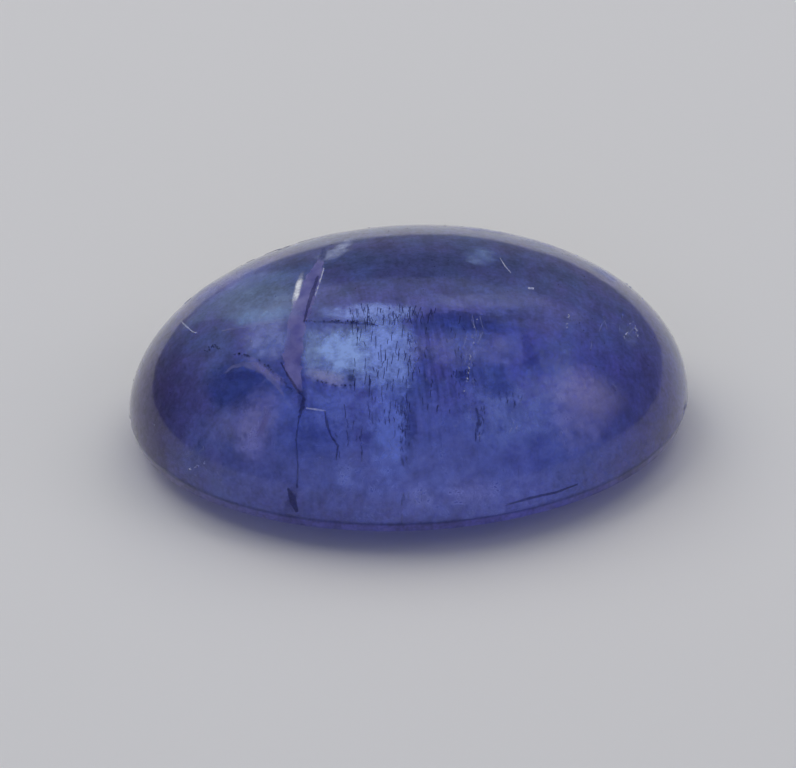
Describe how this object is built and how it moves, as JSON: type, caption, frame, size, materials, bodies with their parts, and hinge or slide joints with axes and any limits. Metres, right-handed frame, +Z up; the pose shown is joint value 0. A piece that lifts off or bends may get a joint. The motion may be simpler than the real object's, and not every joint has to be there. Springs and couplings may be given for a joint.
{
  "type": "oval tanzanite cabochon",
  "caption": "Oval tanzanite cabochon with a high polished dome, a narrow girdle band and a low convex back that rests on a small flat spot.",
  "frame": {"origin": "under the middle of the stone, at the height of the surface that it rests on", "axes": "+X along the stone's length, +Y across its width, +Z up through the dome"},
  "size_m": [0.012, 0.0092, 0.0041],
  "materials": {
    "tanzanite": "polished violet-blue gem, translucent and included"
  },
  "bodies": {
    "root": {"tanzanite": "tanzanite"}
  },
  "joints": []
}
